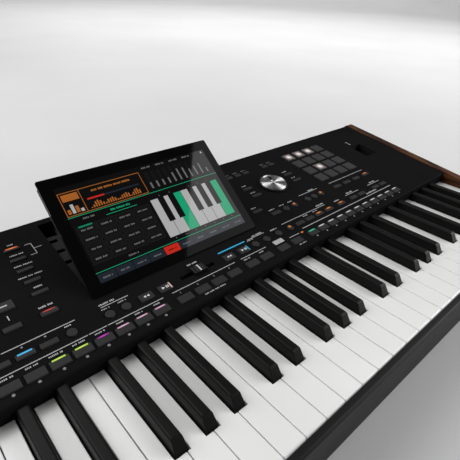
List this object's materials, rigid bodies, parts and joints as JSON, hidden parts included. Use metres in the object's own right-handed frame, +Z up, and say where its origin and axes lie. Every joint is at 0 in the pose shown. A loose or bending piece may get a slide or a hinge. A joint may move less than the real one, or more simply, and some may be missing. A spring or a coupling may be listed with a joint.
{
  "type": "arranger keyboard",
  "caption": "Arranger keyboard with hinged keys, wooden end cheeks, a sloping button panel, tilting display, data dial, trigger pads, crossfader, sliders and joystick.",
  "frame": {"origin": "under the middle of the body, on the surface that its feet stand on", "axes": "+X along the keys to the player's right, +Y to the back, +Z up"},
  "size_m": [0.9834, 0.36, 0.1895],
  "materials": {
    "panel_black": "black anodised, satin",
    "case_black": "fine textured",
    "walnut": "oiled walnut",
    "key_white": "semi-gloss",
    "key_black": "satin",
    "button_grey": "matte, soft touch",
    "pad_grey": "matte silicone",
    "display_glass": "glossy black",
    "display_case": "fine textured",
    "screen": "lit screen",
    "dial_metal": "spun, bright",
    "knob_black": "satin",
    "steel": "bare",
    "frame_metal": "folded sheet",
    "rubber": "matte",
    "felt": "felt",
    "circuit_board": "solder mask",
    "socket_black": "satin",
    "socket_metal": "nickel plated"
  },
  "bodies": {
    "body": {"top_panel": "panel_black", "rear_panel": "panel_black", "bottom_case": "case_black", "front_slip": "case_black", "joystick_block": "case_black", "display_well": "case_black", "usb_pocket": "case_black", "left_cheek": "walnut", "right_cheek": "walnut", "key_pivot_rod": "steel", "display_hinge_pins": "steel", "case_screws": "steel", "key_frame": "frame_metal", "power_supply": "frame_metal", "rubber_feet": "rubber", "key_stop_felt": "felt", "panel_board": "circuit_board", "main_board": "circuit_board", "key_contact_board": "circuit_board", "control_units": "socket_black", "jack_sockets": "socket_black", "midi_sockets": "socket_black", "power_inlet": "socket_black", "usb_ports": "socket_metal"},
    "display": {"display_glass": "display_glass", "display_back_cover": "display_case", "display_lcd": "screen"},
    "dial": {"dial_cap": "dial_metal", "dial_skirt": "knob_black"},
    "crossfader": {"crossfader_cap": "knob_black"},
    "volume": {"volume_knob": "knob_black"},
    "sliders": {"slider_caps": "knob_black"},
    "joystick_ring": {"joystick_gimbal": "knob_black"},
    "joystick": {"joystick_lever": "knob_black"},
    "power_rocker": {"power_switch": "knob_black"},
    "pads": {"trigger_pads": "pad_grey"},
    "style_buttons": {"style_buttons": "button_grey"},
    "keyset_buttons": {"keyset_buttons": "button_grey"},
    "tone_buttons": {"tone_buttons": "button_grey"},
    "transport_buttons": {"transport_buttons": "button_grey"},
    "function_buttons": {"function_buttons": "button_grey"},
    "page_buttons": {"page_buttons": "button_grey"},
    "menu_buttons": {"menu_buttons": "button_grey"},
    "round_buttons": {"round_buttons": "button_grey"},
    "key_c": {"key_c": "key_white"},
    "key_c_sharp": {"key_c_sharp": "key_black"},
    "key_d": {"key_d": "key_white"},
    "key_d_sharp": {"key_d_sharp": "key_black"},
    "key_e": {"key_e": "key_white"},
    "key_f": {"key_f": "key_white"},
    "key_f_sharp": {"key_f_sharp": "key_black"},
    "key_g": {"key_g": "key_white"},
    "key_g_sharp": {"key_g_sharp": "key_black"},
    "key_a": {"key_a": "key_white"},
    "key_a_sharp": {"key_a_sharp": "key_black"},
    "key_b": {"key_b": "key_white"},
    "lower_white_keys": {"lower_white_keys": "key_white"},
    "lower_black_keys": {"lower_black_keys": "key_black"},
    "upper_white_keys": {"upper_white_keys": "key_white"},
    "upper_black_keys": {"upper_black_keys": "key_black"}
  },
  "joints": [
    {"name": "display_tilt", "type": "hinge", "parent": "body", "child": "display", "pos_m": [0, 0.03963, 0.10718], "axis": [1, 0, 0], "range_deg": [-30.5, 0]},
    {"name": "dial_turn", "type": "hinge", "parent": "body", "child": "dial", "pos_m": [0.19382, 0.08869, 0.11838], "axis": [0, -0.1305, 0.9914], "continuous": true},
    {"name": "crossfader_slide", "type": "slide", "parent": "body", "child": "crossfader", "axis": [1, 0, 0], "range_m": [-0.019, 0.017]},
    {"name": "slider_slide", "type": "slide", "parent": "body", "child": "sliders", "axis": [0, 0.9914, 0.1305], "range_m": [-0.0225, 0.0225]},
    {"name": "volume_turn", "type": "hinge", "parent": "body", "child": "volume", "pos_m": [-0.42861, 0.0112, 0.10817], "axis": [0, -0.1305, 0.9914], "range_deg": [-135, 135]},
    {"name": "joystick_sideways", "type": "hinge", "parent": "body", "child": "joystick_ring", "pos_m": [-0.4245, -0.10011, 0.075], "axis": [0, 1, 0], "range_deg": [-18, 18], "stiffness_Nm_per_rad": 0.25},
    {"name": "joystick_forward", "type": "hinge", "parent": "joystick_ring", "child": "joystick", "pos_m": [-0.4245, -0.10011, 0.075], "axis": [1, 0, 0], "range_deg": [-18, 18], "stiffness_Nm_per_rad": 0.25},
    {"name": "power_rock", "type": "hinge", "parent": "body", "child": "power_rocker", "pos_m": [-0.3133, 0.17211, 0.062], "axis": [1, 0, 0], "range_deg": [-12, 0]},
    {"name": "pads_press", "type": "slide", "parent": "body", "child": "pads", "axis": [0, 0.1305, -0.9914], "range_m": [0, 0.0008], "stiffness_N_per_m": 4800, "springref_m": -0.001},
    {"name": "style_press", "type": "slide", "parent": "body", "child": "style_buttons", "axis": [0, 0.1305, -0.9914], "range_m": [0, 0.0012], "stiffness_N_per_m": 4200, "springref_m": -0.001},
    {"name": "keyset_press", "type": "slide", "parent": "body", "child": "keyset_buttons", "axis": [0, 0.1305, -0.9914], "range_m": [0, 0.0012], "stiffness_N_per_m": 2400, "springref_m": -0.001},
    {"name": "tone_press", "type": "slide", "parent": "body", "child": "tone_buttons", "axis": [0, 0.1305, -0.9914], "range_m": [0, 0.0012], "stiffness_N_per_m": 3300, "springref_m": -0.001},
    {"name": "transport_press", "type": "slide", "parent": "body", "child": "transport_buttons", "axis": [0, 0.1305, -0.9914], "range_m": [0, 0.0012], "stiffness_N_per_m": 1200, "springref_m": -0.001},
    {"name": "function_press", "type": "slide", "parent": "body", "child": "function_buttons", "axis": [0, 0.1305, -0.9914], "range_m": [0, 0.0012], "stiffness_N_per_m": 5100, "springref_m": -0.001},
    {"name": "page_press", "type": "slide", "parent": "body", "child": "page_buttons", "axis": [0, 0.1305, -0.9914], "range_m": [0, 0.0012], "stiffness_N_per_m": 2400, "springref_m": -0.001},
    {"name": "menu_press", "type": "slide", "parent": "body", "child": "menu_buttons", "axis": [0, 0.1305, -0.9914], "range_m": [0, 0.0012], "stiffness_N_per_m": 7500, "springref_m": -0.001},
    {"name": "round_press", "type": "slide", "parent": "body", "child": "round_buttons", "axis": [0, 0.1305, -0.9914], "range_m": [0, 0.0012], "stiffness_N_per_m": 3600, "springref_m": -0.001},
    {"name": "key_c_fall", "type": "hinge", "parent": "body", "child": "key_c", "pos_m": [0, 0.04239, 0.08], "axis": [1, 0, 0], "range_deg": [0, 2.67], "stiffness_Nm_per_rad": 1.5, "springref_deg": -4.58},
    {"name": "key_c_sharp_fall", "type": "hinge", "parent": "body", "child": "key_c_sharp", "pos_m": [0, 0.04239, 0.08], "axis": [1, 0, 0], "range_deg": [0, 2.67], "stiffness_Nm_per_rad": 1.5, "springref_deg": -4.58},
    {"name": "key_d_fall", "type": "hinge", "parent": "body", "child": "key_d", "pos_m": [0, 0.04239, 0.08], "axis": [1, 0, 0], "range_deg": [0, 2.67], "stiffness_Nm_per_rad": 1.5, "springref_deg": -4.58},
    {"name": "key_d_sharp_fall", "type": "hinge", "parent": "body", "child": "key_d_sharp", "pos_m": [0, 0.04239, 0.08], "axis": [1, 0, 0], "range_deg": [0, 2.67], "stiffness_Nm_per_rad": 1.5, "springref_deg": -4.58},
    {"name": "key_e_fall", "type": "hinge", "parent": "body", "child": "key_e", "pos_m": [0, 0.04239, 0.08], "axis": [1, 0, 0], "range_deg": [0, 2.67], "stiffness_Nm_per_rad": 1.5, "springref_deg": -4.58},
    {"name": "key_f_fall", "type": "hinge", "parent": "body", "child": "key_f", "pos_m": [0, 0.04239, 0.08], "axis": [1, 0, 0], "range_deg": [0, 2.67], "stiffness_Nm_per_rad": 1.5, "springref_deg": -4.58},
    {"name": "key_f_sharp_fall", "type": "hinge", "parent": "body", "child": "key_f_sharp", "pos_m": [0, 0.04239, 0.08], "axis": [1, 0, 0], "range_deg": [0, 2.67], "stiffness_Nm_per_rad": 1.5, "springref_deg": -4.58},
    {"name": "key_g_fall", "type": "hinge", "parent": "body", "child": "key_g", "pos_m": [0, 0.04239, 0.08], "axis": [1, 0, 0], "range_deg": [0, 2.67], "stiffness_Nm_per_rad": 1.5, "springref_deg": -4.58},
    {"name": "key_g_sharp_fall", "type": "hinge", "parent": "body", "child": "key_g_sharp", "pos_m": [0, 0.04239, 0.08], "axis": [1, 0, 0], "range_deg": [0, 2.67], "stiffness_Nm_per_rad": 1.5, "springref_deg": -4.58},
    {"name": "key_a_fall", "type": "hinge", "parent": "body", "child": "key_a", "pos_m": [0, 0.04239, 0.08], "axis": [1, 0, 0], "range_deg": [0, 2.67], "stiffness_Nm_per_rad": 1.5, "springref_deg": -4.58},
    {"name": "key_a_sharp_fall", "type": "hinge", "parent": "body", "child": "key_a_sharp", "pos_m": [0, 0.04239, 0.08], "axis": [1, 0, 0], "range_deg": [0, 2.67], "stiffness_Nm_per_rad": 1.5, "springref_deg": -4.58},
    {"name": "key_b_fall", "type": "hinge", "parent": "body", "child": "key_b", "pos_m": [0, 0.04239, 0.08], "axis": [1, 0, 0], "range_deg": [0, 2.67], "stiffness_Nm_per_rad": 1.5, "springref_deg": -4.58},
    {"name": "lower_white_keys_fall", "type": "hinge", "parent": "body", "child": "lower_white_keys", "pos_m": [0, 0.04239, 0.08], "axis": [1, 0, 0], "range_deg": [0, 2.67], "stiffness_Nm_per_rad": 31.5, "springref_deg": -4.58},
    {"name": "lower_black_keys_fall", "type": "hinge", "parent": "body", "child": "lower_black_keys", "pos_m": [0, 0.04239, 0.08], "axis": [1, 0, 0], "range_deg": [0, 2.67], "stiffness_Nm_per_rad": 22.5, "springref_deg": -4.58},
    {"name": "upper_white_keys_fall", "type": "hinge", "parent": "body", "child": "upper_white_keys", "pos_m": [0, 0.04239, 0.08], "axis": [1, 0, 0], "range_deg": [0, 2.67], "stiffness_Nm_per_rad": 12, "springref_deg": -4.58},
    {"name": "upper_black_keys_fall", "type": "hinge", "parent": "body", "child": "upper_black_keys", "pos_m": [0, 0.04239, 0.08], "axis": [1, 0, 0], "range_deg": [0, 2.67], "stiffness_Nm_per_rad": 7.5, "springref_deg": -4.58}
  ]
}
